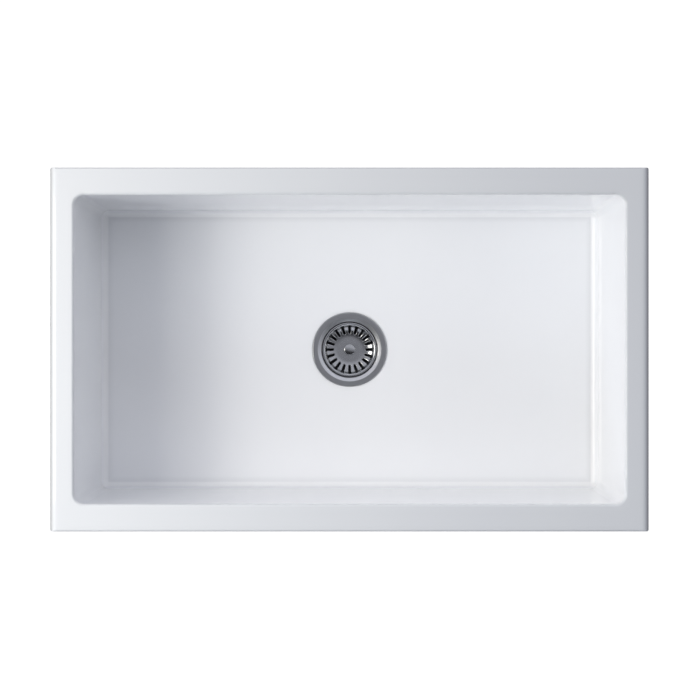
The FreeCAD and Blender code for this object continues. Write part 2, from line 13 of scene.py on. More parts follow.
import bpy
import numpy as np
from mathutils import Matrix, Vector


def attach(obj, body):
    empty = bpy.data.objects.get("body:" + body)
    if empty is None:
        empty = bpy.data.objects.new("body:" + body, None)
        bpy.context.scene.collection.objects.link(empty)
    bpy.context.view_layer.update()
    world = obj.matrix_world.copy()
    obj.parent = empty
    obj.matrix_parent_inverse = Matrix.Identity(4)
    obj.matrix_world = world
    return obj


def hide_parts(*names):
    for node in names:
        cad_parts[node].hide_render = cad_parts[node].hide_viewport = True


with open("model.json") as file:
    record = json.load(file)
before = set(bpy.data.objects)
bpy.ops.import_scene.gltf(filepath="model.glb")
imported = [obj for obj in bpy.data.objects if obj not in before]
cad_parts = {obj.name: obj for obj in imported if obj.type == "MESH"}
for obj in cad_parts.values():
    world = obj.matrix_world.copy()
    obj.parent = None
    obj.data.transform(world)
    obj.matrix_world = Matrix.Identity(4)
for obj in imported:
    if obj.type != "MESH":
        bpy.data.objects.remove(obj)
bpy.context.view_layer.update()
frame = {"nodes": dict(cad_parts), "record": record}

MM = 0.001
scene = bpy.context.scene
nodes = frame["nodes"]

# %% [markdown]
# ## The camera
# The photograph looks straight down on the bowl. How fast the walls close in towards the floor gives
# the distance: the floor is drawn at 0.90 of the rim's scale, so the lens is about two metres above
# the rim. The focal length then follows from the width of the frame in the rim's plane.

# %% Camera
SENSOR = 36.0
FRAME_WIDTH = 975.6
CAMERA_ABOVE_RIM = 1966.0
RIM_TOP = 254.0
CAMERA_ASIDE = (0.7, -0.7)

lens = bpy.data.cameras.new("overhead_camera")
lens.sensor_width = SENSOR
lens.lens = SENSOR * CAMERA_ABOVE_RIM / FRAME_WIDTH
camera = bpy.data.objects.new("overhead_camera", lens)
camera.location = (CAMERA_ASIDE[0] * MM, CAMERA_ASIDE[1] * MM, (RIM_TOP + CAMERA_ABOVE_RIM) * MM)
scene.collection.objects.link(camera)
scene.camera = camera
print(f"lens {lens.lens:.1f} mm at {camera.location.z:.2f} m")

# %% [markdown]
# ## Colours and nodes
# Colours are written as sRGB hex values, as a paint chart gives them, but shaders count in linear
# light. One function makes the change. One more adds a shader node: it sets the node's properties,
# then fills its sockets, with a link where it is given a socket and with a plain value otherwise.

# %% Colour and node helpers
SRGB_KNEE = 0.04045
SRGB_SLOPE = 12.92
SRGB_LIFT = 0.055
SRGB_POWER = 2.4
HEX_BASE = 16
HEX_STARTS = (1, 3, 5)
FULL_CHANNEL = 255


def linear(hex_colour):
    """sRGB to linear: below the knee a channel is divided by the slope, above it is lifted,
    scaled back to one and raised to the power."""
    pairs = [hex_colour[start:start + 2] for start in HEX_STARTS]
    channels = np.array([int(pair, HEX_BASE) for pair in pairs]) / FULL_CHANNEL
    curved = ((channels + SRGB_LIFT) / (1 + SRGB_LIFT)) ** SRGB_POWER
    return (*np.where(channels <= SRGB_KNEE, channels / SRGB_SLOPE, curved), 1.0)


def add_node(tree, kind, settings=(), **sockets):
    """One node with its properties and sockets. A socket's name is written with _ for each space."""
    made = tree.nodes.new(kind)
    for name, value in dict(settings).items():
        setattr(made, name, value)
    for name, value in sockets.items():
        socket = made.inputs[name.replace("_", " ")]
        if isinstance(value, bpy.types.NodeSocket):
            tree.links.new(value, socket)
        else:
            socket.default_value = value
    return made


def new_material(name):
    """An empty node material with its output and the piece's own coordinates."""
    material = bpy.data.materials.new(name)
    material.use_nodes = True
    tree = material.node_tree
    tree.nodes.clear()
    output = tree.nodes.new("ShaderNodeOutputMaterial")
    place = tree.nodes.new("ShaderNodeTexCoord").outputs["Object"]
    return material, tree, output.inputs["Surface"], place


def ramp(tree, amount, *colours):
    """Colours in even steps along a value from 0 to 1."""
    made = add_node(tree, "ShaderNodeValToRGB", Fac=amount)
    stops = made.color_ramp.elements
    while len(stops) < len(colours):
        stops.new(1.0)
    for step, colour in enumerate(colours):
        stops[step].position = step / (len(colours) - 1)
        stops[step].color = linear(colour)
    return made.outputs["Color"]


print("middle grey in linear light:", [round(c, 3) for c in linear("#808080")])

# %% [markdown]
# ## Light
# The glaze is nearly white, so almost everything that can be read from it is light. The photograph
# has its key light on the left: the left wall's shadow fades over a third of the floor, and the rim
# falls from almost white on the left to a light grey on the right. The room gives the rest, and it is
# what the metal of the strainer mirrors: its funnel and knob show that the room is bright at the back
# and dark at the front left, with a soft edge right overhead. Below the horizon it is dark, as a table
# is in the shade of what stands on it.

# %% Room
ROOM_COLOUR = "#F1F3FD"
ROOM_FRONT = 0.055
ROOM_BACK = 0.722
ROOM_BACK_AZIMUTH = math.radians(77)
ROOM_EDGE = 0.3
ROOM_BELOW = 0.3
HORIZON = 0.1

room = bpy.data.worlds.new("pale_studio")
room.use_nodes = True
room_tree = room.node_tree
room_tree.nodes.clear()
toward_sky = room_tree.nodes.new("ShaderNodeTexCoord").outputs["Generated"]
backward = add_node(room_tree, "ShaderNodeVectorMath", {"operation": "DOT_PRODUCT"}, Vector=toward_sky)
backward.inputs[1].default_value = (math.cos(ROOM_BACK_AZIMUTH), math.sin(ROOM_BACK_AZIMUTH), 0.0)
level = add_node(room_tree, "ShaderNodeMapRange", Value=backward.outputs["Value"], From_Min=-ROOM_EDGE,
                 From_Max=ROOM_EDGE, To_Min=ROOM_FRONT, To_Max=ROOM_BACK)
upward = add_node(room_tree, "ShaderNodeSeparateXYZ", Vector=toward_sky).outputs["Z"]
above = add_node(room_tree, "ShaderNodeMapRange", Value=upward, From_Min=-HORIZON,
                 From_Max=HORIZON, To_Min=ROOM_BELOW, To_Max=1.0)
shaded = add_node(room_tree, "ShaderNodeMath", {"operation": "MULTIPLY"})
room_tree.links.new(level.outputs["Result"], shaded.inputs[0])
room_tree.links.new(above.outputs["Result"], shaded.inputs[1])
surround = add_node(room_tree, "ShaderNodeBackground", Color=linear(ROOM_COLOUR),
                    Strength=shaded.outputs["Value"])
sky = room_tree.nodes.new("ShaderNodeOutputWorld")
room_tree.links.new(surround.outputs["Background"], sky.inputs["Surface"])
scene.world = room
scene.view_settings.view_transform = "Standard"
print("room light:", ROOM_FRONT, "at the front,", ROOM_BACK, "at the back")

# %% [markdown]
# ### Softboxes
# Two warm softboxes on the left, one above the other, make the key. A bluish one at the front left
# lifts the walls that the key misses, and a long strip at the front brightens the back wall and the
# basket's far slots. Each is placed as in a studio: round the sink by an azimuth, up by an elevation,
# and out by a distance. Two of them stand where the funnel would mirror them as bright patches, so
# they are hidden from glossy rays.

# %% Softboxes
KEY_COLOUR = "#FFFCF5"
KEY_DISTANCE = 1.8
KEY_SIZE = 0.72
FILL_COLOUR = "#EAF1FF"
FILL_DISTANCE = 4.0
LIGHT_AIM = (0.0, 0.0, 0.1)


def softbox(name, azimuth, elevation, distance, width, height, power, colour):
    """An area light on a sphere round the sink: out is the cosine of the elevation, up its sine."""
    turn = math.radians(azimuth)
    rise = math.radians(elevation)
    toward = Vector((math.cos(rise) * math.cos(turn), math.cos(rise) * math.sin(turn), math.sin(rise)))
    glow = bpy.data.lights.new(name, "AREA")
    glow.shape = "RECTANGLE"
    glow.size = width
    glow.size_y = height
    glow.energy = power
    glow.color = linear(colour)[:3]
    lamp = bpy.data.objects.new(name, glow)
    lamp.location = Vector(LIGHT_AIM) + toward * distance
    lamp.rotation_euler = toward.to_track_quat("Z", "Y").to_euler()
    scene.collection.objects.link(lamp)
    print(f"{name}: {power} W at {[round(c, 2) for c in lamp.location]}")
    return lamp


softbox("key_low", azimuth=180, elevation=36, distance=KEY_DISTANCE, width=KEY_SIZE, height=KEY_SIZE,
        power=10.9, colour=KEY_COLOUR)
upper_key = softbox("key_high", azimuth=180, elevation=48, distance=KEY_DISTANCE, width=KEY_SIZE,
                    height=KEY_SIZE, power=8.7, colour=KEY_COLOUR)
front_fill = softbox("fill_front", azimuth=225, elevation=35, distance=FILL_DISTANCE, width=2.2,
                     height=2.2, power=34.0, colour=FILL_COLOUR)
softbox("strip_front", azimuth=270, elevation=40, distance=FILL_DISTANCE, width=2.9, height=0.9,
        power=15.0, colour=FILL_COLOUR)
for lamp in (upper_key, front_fill):
    lamp.visible_glossy = False

# %% [markdown]
# ## Surfaces from grids
# Every new piece is a grid of points with two parameters: a place along a section, and a place round
# the outline. Numpy works out the whole grid at once, and the faces are index arithmetic on it. The
# section's last row joins its first where the piece is a closed ring, and a flat cap closes it
# where it ends on the axis.

# %% Mesh from a grid
SMOOTH_BELOW = math.radians(32)


def grid_faces(rows, columns, closed):
    """Quads between each row and the next. Columns always close on themselves, rows if asked to."""
    row = np.arange(rows if closed else rows - 1)[:, None]
    column = np.arange(columns)[None, :]
    ahead = (row + 1) % rows
    beside = (column + 1) % columns
    near = row * columns
    far = ahead * columns
    corners = np.broadcast_arrays(near + column, near + beside, far + beside, far + column)
    return np.stack(corners, axis=-1).reshape(-1, 4)


def make_piece(name, points, body, stands_for, closed=True, caps=()):
    """A grid of points (rows, columns, 3) in millimetres becomes one smooth mesh that rides on a body."""
    rows, columns = points.shape[:2]
    faces = grid_faces(rows, columns, closed).tolist()
    for row, flipped in caps:
        loop = list(range(row * columns, (row + 1) * columns))
        faces.append(loop[::-1] if flipped else loop)
    mesh = bpy.data.meshes.new(name)
    mesh.from_pydata((points.reshape(-1, 3) * MM).tolist(), [], faces)
    mesh.update()
    mesh.shade_smooth()
    mesh.set_sharp_from_angle(angle=SMOOTH_BELOW)
    piece = bpy.data.objects.new(name, mesh)
    scene.collection.objects.link(piece)
    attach(piece, body)
    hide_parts(*stands_for)
    print(f"{name}: {len(mesh.polygons)} faces")
    return piece


# %% [markdown]
# ## The bowl's outline
# Seen from above, each level of the bowl is a rectangle with rounded corners. A point of it is a
# corner's centre plus the corner's radius along the outward normal. On a straight side the normal
# stays and the centre moves from one corner to the next, so the same formula gives all the points:
# x = c_x (a - r) + n_x r, and likewise for y, with half-length a, half-width b and corner radius r.

# %% Columns round the bowl
END_STEPS = 44
SIDE_STEPS = 72
CORNER_STEPS = 14


def outline_columns():
    """For each point round the outline, the corner centre's signs c and the outward normal n."""
    centres = []
    normals = []
    corners = [(1, 1), (-1, 1), (-1, -1), (1, -1)]
    for turn, corner in enumerate(corners):
        before = corners[turn - 1]
        steps = END_STEPS if turn % 2 == 0 else SIDE_STEPS
        share = np.arange(steps)[:, None] / steps
        centres.append(np.array(before) * (1 - share) + np.array(corner) * share)
        angle = math.pi / 2 * (turn + np.arange(CORNER_STEPS) / CORNER_STEPS)
        side = np.repeat([[math.cos(angle[0]), math.sin(angle[0])]], steps, axis=0)
        normals.append(side)
        centres.append(np.repeat([corner], CORNER_STEPS, axis=0).astype(float))
        normals.append(np.stack([np.cos(angle), np.sin(angle)], axis=-1))
    return np.concatenate(centres), np.concatenate(normals)


centre_signs, outward = outline_columns()


def ring(half, corner, height=0.0):
    """One level of the bowl (columns, 3): the corner centres lie inside the half-sizes by the corner's
    radius, and each point is its centre plus that radius along the normal."""
    flat = centre_signs * (np.asarray(half) - corner) + outward * corner
    return np.column_stack([flat, np.broadcast_to(height, len(flat))])


def inset(half, amount):
    """Half-sizes made smaller all round."""
    return np.asarray(half) - amount


def between(first, last, steps):
    """Evenly spaced rings from one ring to another, without either of the two."""
    share = np.linspace(0, 1, steps + 1)[1:-1, None, None]
    return first * (1 - share) + last * share


def round_edge(half, corner, height, radius, start, end, steps):
    """Rings on a circle round the ring at its centre: the outline and its corner grow by radius times
    the cosine of the angle, and the height rises by radius times the sine."""
    angles = np.radians(np.linspace(start, end, steps))
    grown = radius * np.cos(angles)
    risen = height + radius * np.sin(angles)
    return np.stack([ring(inset(half, -grow), corner + grow, rise) for grow, rise in zip(grown, risen)])


print("points round the bowl:", len(outward))

# %% [markdown]
# ## The bowl's section
# A sink like this is slip-cast in one piece, dried, glazed and fired. The mould leaves a slight
# draft on the walls, and the glaze pulls back from edges and pools in corners, so every edge is a
# soft round. The section runs from the foot ring up the outside, over the rim, down the inside wall,
# and through a cove to the floor, which falls to the drain as a very shallow cone.

# %% Sizes of the bowl
RIM_HALF = (419.0, 254.0)
OPENING_HALF = (384.5, 216.0)
OUTER_DRAFT = math.radians(1.4)
INNER_DRAFT = math.radians(0.5)
OUTER_CORNER = 3.5
INNER_CORNER = 15.0
LOW_CORNER = 12.5
END_ROUND = 11.0
SIDE_ROUND = 3.5
LIP_ROUND = 4.0
COVE = 11.0
FOOT_ROUND = 3.0
FOOT_WIDTH = 55.0
FOOT_CORNER = 30.0
FOOT_HEIGHT = 10.0
FLOOR = 32.0
FLOOR_FALL = 3.0
SEAT_R = 58.6

foot_half = inset(RIM_HALF, RIM_TOP * math.tan(OUTER_DRAFT))
low_half = inset(OPENING_HALF, (RIM_TOP - FLOOR) * math.tan(INNER_DRAFT))
print("floor to the foot of the walls:", (2 * low_half).round(1), "mm")

# %% [markdown]
# The casting is fettled by hand before it is glazed: the two ends are sponged to a wide round and the
# long sides only broken. Each cut runs straight past the corners, so at a corner the lower of the two
# counts. The rings step inwards along a quarter circle, further at the ends than at the sides.

# %% Rim
RIM_STEPS = 10

rounds = np.array([END_ROUND, SIDE_ROUND])


def rim_height(points):
    """Height of the rim's top. At a distance d inside a face with a round r, the top has dropped by
    r - sqrt(r^2 - (r - d)^2), and by nothing further in."""
    reach = np.clip(rounds - (np.array(RIM_HALF) - np.abs(points)), 0, rounds)
    drop = rounds - np.sqrt(rounds ** 2 - reach ** 2)
    return RIM_TOP - drop.max(axis=-1)


quarter = 1 - np.cos(np.radians(np.linspace(0, 90, RIM_STEPS)))
rim_flat = np.stack([ring(inset(RIM_HALF, rounds * share), OUTER_CORNER)[:, :2] for share in quarter])
rim_rings = np.concatenate([rim_flat, rim_height(rim_flat)[..., None]], axis=-1)
print("rim rings:", len(rim_rings))

# %% [markdown]
# The inner wall's corners tighten from the rim to the floor, as the core of the mould does to let the
# casting go. At its foot the cove is a quarter circle that stands on the falling floor: at an inset of
# R (1 - cos a) it is R (1 - sin a) above the floor's cone, for an angle a from 0 to a right angle.

# %% Wall, cove and floor
WALL_STEPS = 24
COVE_STEPS = 12
FLOOR_STEPS = 40


def cone_height(points):
    """Height of the falling floor: FLOOR at the seat, FLOOR_FALL more at the foot of the end walls."""
    distance = np.linalg.norm(points, axis=-1)
    return FLOOR + FLOOR_FALL * (distance - SEAT_R) / (low_half[0] - SEAT_R)


lip_rings = round_edge(inset(OPENING_HALF, -LIP_ROUND), INNER_CORNER + LIP_ROUND, RIM_TOP - LIP_ROUND,
                       LIP_ROUND, 90, 180, RIM_STEPS)
cove_angle = np.radians(np.linspace(0, 90, COVE_STEPS))
cove_inset = COVE * (1 - np.cos(cove_angle))
cove_flat = np.stack([ring(inset(low_half, amount), LOW_CORNER - amount)[:, :2] for amount in cove_inset])
cove_rise = COVE * (1 - np.sin(cove_angle))[:, None]
cove_rings = np.concatenate([cove_flat, (cone_height(cove_flat) + cove_rise)[..., None]], axis=-1)

edge = cove_flat[-1]
direction = edge / np.linalg.norm(edge, axis=-1, keepdims=True)
share = np.linspace(0, 1, FLOOR_STEPS + 1)[1:, None, None]
floor_flat = edge * (1 - share) + direction * SEAT_R * share
floor_rings = np.concatenate([floor_flat, cone_height(floor_flat)[..., None]], axis=-1)
print("floor falls", round(float(np.ptp(floor_rings[..., 2])), 2), "mm")

# %% [markdown]
# On the floor the rings turn from a rectangle into the round seat of the drain, each column on its own
# straight line. The strainer's flange lies in that shallow seat. Below, the slab's underside is left
# without glaze, as on real sinks, which stand on it in the kiln.

# %% The bowl as one closed ring of rings
SEAT_DEPTH = 0.6
HOLE_R = 46.0
HOLE_CHAMFER = 3.0
SEAT = FLOOR - SEAT_DEPTH
RECESS_STEPS = 4
FOOT_STEPS = 5
TOP_STEPS = 5
UNDER_STEPS = 10

recess_half = inset(foot_half, FOOT_WIDTH)
recess_top = ring(recess_half, FOOT_CORNER, FOOT_HEIGHT)
recess_foot = ring(recess_half, FOOT_CORNER)
foot_rings = round_edge(inset(foot_half, FOOT_ROUND), OUTER_CORNER - FOOT_ROUND, FOOT_ROUND,
                        FOOT_ROUND, -90, 0, FOOT_STEPS)
drain_section = np.array([
    (SEAT_R, SEAT),
    (HOLE_R + HOLE_CHAMFER, SEAT),
    (HOLE_R, SEAT - HOLE_CHAMFER),
    (HOLE_R, (SEAT - HOLE_CHAMFER + FOOT_HEIGHT) / 2),
    (HOLE_R, FOOT_HEIGHT),
])
drain_rings = np.stack([
    np.column_stack([direction * radius, np.full(len(direction), height)])
    for radius, height in drain_section])
bare_foot = [recess_top[None], between(recess_top, recess_foot, RECESS_STEPS), recess_foot[None],
             between(recess_foot, foot_rings[0], FOOT_STEPS)]
glazed = [foot_rings, between(foot_rings[-1], rim_rings[0], WALL_STEPS), rim_rings,
          between(rim_rings[-1], lip_rings[0], TOP_STEPS), lip_rings,
          between(lip_rings[-1], cove_rings[0], WALL_STEPS), cove_rings, floor_rings, drain_rings[:-2]]
bare_under = [drain_rings[-2:], between(drain_rings[-1], recess_top, UNDER_STEPS)]
bowl = make_piece("sink_bowl_glazed", np.concatenate(bare_foot + glazed + bare_under), "sink",
                  ["sink_bowl"])
bare_count = sum(map(len, bare_foot))
glazed_count = sum(map(len, glazed))

# %% [markdown]
# ## Glaze
# White zircon glaze on fireclay is glass: smooth, with an index near 1.5, over a pale clay body. It
# levels out in long low waves, tens of millimetres long, so a noise of that size tips the surface by a
# hair. The colour carries painted light and shade in bands. The flat rim and the ends are painted a
# shade greyer, painted shade that dims them against the inside of the bowl: the colour turns over the
# last few millimetres of the lip. Where the round of an end turns down into the side, a grey line is
# painted shade on the edge that turns away from the light. Inside, the cove is painted whiter, a painted
# highlight, and a grey band of painted shadow lies where the floor begins. Each of these is a band of
# the place in the bowl, so the helpers below measure that place and cut bands from it.

# %% Bands of the glaze
GLAZE_ROUGHNESS = 0.03
GLAZE_IOR = 1.5
CLOUD = 160 * MM
CLOUD_DETAIL = 2.0
WAVE = 45 * MM
WAVE_DETAIL = 1.0
WAVE_STRENGTH = 0.25
WAVE_HEIGHT = 0.25 * MM
# painted shade: from these heights up, and over the ends, the glaze turns a greyer white that darkens the
# rim
RIM_SHADE_FROM = 248.0 * MM
RIM_SHADE_FULLY = 253.5 * MM
# painted highlight in the cove, from this distance off the wall, with band edges this wide
PAINTED_BAND_EDGE = 1.2 * MM
COVE_LIGHT_FROM = 2.4 * MM
# painted shadow: width of the grey band on the floor beside the cove
FLOOR_SHADE_WIDTH = 8.0 * MM
# painted shade: a grey band this wide over the outer round of each end, between these heights
EDGE_SHADE_WIDTH = 7.0 * MM
EDGE_SHADE_LOW = 234.0 * MM
EDGE_SHADE_HIGH = 242.0 * MM


def blend(tree, amount, first, second):
    """A colour between two others, by an amount from 0 to 1."""
    made = add_node(tree, "ShaderNodeMix", {"data_type": "RGBA"}, Factor=amount)
    for socket, colour in zip((entry for entry in made.inputs if entry.type == "RGBA"), (first, second)):
        tree.links.new(colour, socket)
    return next(socket for socket in made.outputs if socket.type == "RGBA")


def from_walls(tree, spot):
    """Distance from the foot of the nearest wall: the least of half the size less the place, in x and y."""
    gaps = []
    for axis, half in zip("XY", low_half):
        away = add_node(tree, "ShaderNodeMath", {"operation": "ABSOLUTE"}, Value=spot[axis])
        gap = add_node(tree, "ShaderNodeMath", {"operation": "SUBTRACT"}, Value=half * MM)
        tree.links.new(away.outputs["Value"], gap.inputs[1])
        gaps.append(gap.outputs["Value"])
    least = add_node(tree, "ShaderNodeMath", {"operation": "MINIMUM"}, Value=gaps[0])
    tree.links.new(gaps[1], least.inputs[1])
    return least.outputs["Value"]


def band(tree, value, low, low_full, high_full, high):
    """A band of a value: 0 up to low, 1 from low_full to high_full, and 0 again from high on."""
    rise = add_node(tree, "ShaderNodeMapRange", Value=value, From_Min=low, From_Max=low_full)
    fall = add_node(tree, "ShaderNodeMapRange", Value=value, From_Min=high_full, From_Max=high,
                    To_Min=rise.outputs["Result"], To_Max=0.0)
    return fall.outputs["Result"]


print("pool in the cove from", round(COVE_LIGHT_FROM / MM, 1), "mm off the wall")


# %% Glaze
def white_glaze():
    """Fired glass skin: sharp reflections that swim slightly, almost no colour, painted light and shade in
    bands.
    """
    material, tree, surface, place = new_material("white_zircon_glaze")
    cloud = add_node(tree, "ShaderNodeTexNoise", Vector=place, Scale=1 / CLOUD, Detail=CLOUD_DETAIL)
    thick = ramp(tree, cloud.outputs["Fac"], "#F7F8FA", "#FAFBFC")
    # painted shade: a greyer white for the rim's top and the ends
    rim_shade_colour = ramp(tree, cloud.outputs["Fac"], "#E3E5E7", "#E6E8E9")
    # painted shade: grey for the outer round of the ends, which turns away from the light
    edge_shade_colour = ramp(tree, cloud.outputs["Fac"], "#AEAFB2", "#B4B5B8")
    # painted highlight: a whiter white for the cove
    cove_light_colour = ramp(tree, cloud.outputs["Fac"], "#FCFDFE", "#FFFFFF")
    # painted shadow: a greyer white for the floor's edge beside the cove
    floor_edge_shade_colour = ramp(tree, cloud.outputs["Fac"], "#F0F1F3", "#F3F4F5")
    spot = add_node(tree, "ShaderNodeSeparateXYZ", Vector=place).outputs
    end = RIM_HALF[0] * MM
    round_start = end - END_ROUND * MM
    along = add_node(tree, "ShaderNodeMath", {"operation": "ABSOLUTE"}, Value=spot["X"])
    # where the painted shade lies: by height on the rim, and by x over the ends
    top = add_node(tree, "ShaderNodeMapRange", Value=spot["Z"], From_Min=RIM_SHADE_FROM, From_Max=RIM_SHADE_FULLY)
    rim_shade = add_node(tree, "ShaderNodeMapRange", Value=along.outputs["Value"], To_Min=top.outputs["Result"],
                    From_Min=round_start - END_ROUND * MM, From_Max=round_start)
    # where the painted edge shade lies: the last millimetres of each end, high up
    outer = add_node(tree, "ShaderNodeMapRange", Value=along.outputs["Value"], From_Min=end - EDGE_SHADE_WIDTH,
                     From_Max=end)
    high = add_node(tree, "ShaderNodeMapRange", Value=spot["Z"], From_Min=EDGE_SHADE_LOW, From_Max=EDGE_SHADE_HIGH,
                    To_Max=outer.outputs["Result"])
    gap = from_walls(tree, spot)
    foot = COVE * MM - PAINTED_BAND_EDGE
    # band of the painted highlight in the cove
    painted_light = band(tree, gap, COVE_LIGHT_FROM, COVE_LIGHT_FROM + PAINTED_BAND_EDGE, foot - PAINTED_BAND_EDGE, foot)
    # band of the painted shadow where the floor begins
    floor_edge_shade = band(tree, gap, foot - PAINTED_BAND_EDGE, foot, foot + PAINTED_BAND_EDGE, foot + FLOOR_SHADE_WIDTH)
    inner = blend(tree, floor_edge_shade, blend(tree, painted_light, thick, cove_light_colour), floor_edge_shade_colour)
    colour = blend(tree, high.outputs["Result"], blend(tree, rim_shade.outputs["Result"], inner, rim_shade_colour), edge_shade_colour)
    wave = add_node(tree, "ShaderNodeTexNoise", Vector=place, Scale=1 / WAVE, Detail=WAVE_DETAIL)
    swim = add_node(tree, "ShaderNodeBump", Height=wave.outputs["Fac"], Strength=WAVE_STRENGTH,
                    Distance=WAVE_HEIGHT)
    glaze = add_node(tree, "ShaderNodeBsdfPrincipled", Base_Color=colour, Roughness=GLAZE_ROUGHNESS,
                     IOR=GLAZE_IOR, Normal=swim.outputs["Normal"])
    tree.links.new(glaze.outputs["BSDF"], surface)
    return material


bowl.data.materials.append(white_glaze())
print("glazed rings:", glazed_count)

# %% [markdown]
# The foot that stood on the kiln shelf is bare clay: dull, buff and sandy.

# %% Bare fireclay
GRIT = 1.2 * MM
GRIT_DETAIL = 4.0
GRIT_ROUGHNESS = 0.7
GRIT_STRENGTH = 0.6
GRIT_HEIGHT = 0.3 * MM
CLAY_ROUGHNESS = 0.9


def bare_fireclay():
    """Unglazed biscuit: chalky, with sandy grog that shows as darker grains."""
    material, tree, surface, place = new_material("bare_fireclay")
    grit = add_node(tree, "ShaderNodeTexNoise", Vector=place, Scale=1 / GRIT, Detail=GRIT_DETAIL,
                    Roughness=GRIT_ROUGHNESS)
    colour = ramp(tree, grit.outputs["Fac"], "#A99A83", "#D8CFBF", "#E6DFD2")
    rough = add_node(tree, "ShaderNodeBump", Height=grit.outputs["Fac"], Strength=GRIT_STRENGTH,
                     Distance=GRIT_HEIGHT)
    clay = add_node(tree, "ShaderNodeBsdfPrincipled", Base_Color=colour, Roughness=CLAY_ROUGHNESS,
                    Normal=rough.outputs["Normal"])
    tree.links.new(clay.outputs["BSDF"], surface)
    return material


bowl.data.materials.append(bare_fireclay())
clay_of_face = np.ones(len(bowl.data.polygons), int)
clay_of_face[bare_count * len(outward):(bare_count + glazed_count) * len(outward)] = 0
bowl.data.polygons.foreach_set("material_index", clay_of_face)
print("bare faces:", int(clay_of_face.sum()))

# %% [markdown]
# ## Turned pieces
# The waste body and the knob are turned on a lathe, so each is a section carried round the drain axis.
# A section is a list of corners, each as radius, height and an optional rounding, and a rounded corner
# is swapped for the arc that touches both of its lines.

# %% Lathe
LATHE_STEPS = 128
ARC_STEPS = 6


def corner_arc(before, corner, after, radius, steps=ARC_STEPS):
    """Points on the arc that touches both lines at a corner: its centre lies on their bisector, at
    radius over the sine of half the angle between them, and the arc swings from line to line."""
    back = (before - corner) / np.linalg.norm(before - corner)
    ahead = (after - corner) / np.linalg.norm(after - corner)
    half = math.acos(float(np.clip(back @ ahead, -1, 1))) / 2
    bisector = (back + ahead) / np.linalg.norm(back + ahead)
    centre = corner + bisector * radius / math.sin(half)
    start = corner + back * radius / math.tan(half) - centre
    end = corner + ahead * radius / math.tan(half) - centre
    sweep = math.pi - 2 * half
    share = np.linspace(0, 1, steps)[:, None]
    return centre + (start * np.sin((1 - share) * sweep) + end * np.sin(share * sweep)) / math.sin(sweep)


def section(corners, closed=True, steps=ARC_STEPS):
    """The section's points in order, with its corners rounded where they have a rounding."""
    spots = [np.array(corner[:2], float) for corner in corners]
    count = len(spots)
    points = []
    for place, corner in enumerate(corners):
        ends = not closed and place in (0, count - 1)
        if len(corner) == 2 or ends:
            points.append(spots[place][None])
        else:
            after = spots[(place + 1) % count]
            points.append(corner_arc(spots[place - 1], spots[place], after, corner[2], steps))
    return np.concatenate(points)


def lathe(points, steps=LATHE_STEPS):
    """A section of (radius, height) carried round the axis: x = r cos t, y = r sin t."""
    turn = np.linspace(0, 2 * math.pi, steps, endpoint=False)
    radius = points[:, 0, None]
    height = np.broadcast_to(points[:, 1, None], (len(points), steps))
    return np.stack([radius * np.cos(turn), radius * np.sin(turn), height], axis=-1)


print("lathe ready with", LATHE_STEPS, "steps round")

# %% [markdown]
# ## The waste body
# One pressing and turning of stainless steel: a satin flange, dished by a hair, a bright funnel, a
# ledge that carries the basket's lip, a threaded barrel, the seat of the stopper and a threaded neck.
# The thread is a ridge that winds round the barrel, so its radius drops by a triangle wave of height
# over pitch minus turn over a full circle.

# %% Sizes of the waste body
OUTLET_R = 20.5
SEAT_RING_R = 26.0
CUP_R = 40.0
FUNNEL_R = 43.3
MOUTH_R = 49.3
FLANGE_R = 57.8
BARREL_R = 43.2
NECK_R = 23.9
FLANGE_TOP = 34.3
FLANGE_SHEET = 1.4
FLANGE_ROUND = 1.6
FLANGE_DISH = 0.14
FLANGE_LAND = 0.4
FLANGE_GAP = 0.2
MOUTH_ROUND = 0.5
THROAT_R = 44.0
THROAT = 32.7
FUNNEL_FOOT = 28.8
LEDGE = 26.8
CUP_EDGE = -10.0
BARREL_UNDER = -12.5
BOTTOM_WALL = 2.5
OUTLET_SEAT = -15.0
NECK_TOP = -17.5
NECK_UNDER = -37.5
SMALL_ROUND = 0.4
CUP_ROUND = 1.5
BARREL_THREAD_TOP = 2.0
THREAD_PITCH = 2.2
THREAD_DEPTH = 0.7
THREAD_ROWS = 9

print("thread turns on the neck:", round((NECK_TOP - NECK_UNDER) / THREAD_PITCH, 1))


# %% Waste body's mesh
def threaded(radius, low, high):
    """Section points up a threaded length, dense enough to show each ridge."""
    count = int((high - low) / THREAD_PITCH * THREAD_ROWS)
    return np.column_stack([np.full(count, radius), np.linspace(low, high, count)])


flange_under = FLANGE_TOP - FLANGE_SHEET
inner_section = section([
    (FLANGE_R - FLANGE_SHEET, flange_under),
    (FLANGE_R - FLANGE_SHEET, SEAT + FLANGE_GAP),
    (FLANGE_R, SEAT + FLANGE_GAP),
    (FLANGE_R, FLANGE_TOP, FLANGE_ROUND),
    (FLANGE_R - FLANGE_ROUND - FLANGE_LAND, FLANGE_TOP),
    (MOUTH_R + FLANGE_LAND, FLANGE_TOP - FLANGE_DISH),
    (MOUTH_R, FLANGE_TOP - FLANGE_DISH, MOUTH_ROUND),
    (THROAT_R, THROAT, MOUTH_ROUND),
    (FUNNEL_R, FUNNEL_FOOT),
    (FUNNEL_R, LEDGE),
    (CUP_R, LEDGE, SMALL_ROUND),
    (CUP_R, CUP_EDGE, CUP_ROUND),
    (SEAT_RING_R, OUTLET_SEAT),
    (OUTLET_R, OUTLET_SEAT, SMALL_ROUND),
    (OUTLET_R, NECK_UNDER),
], closed=False)
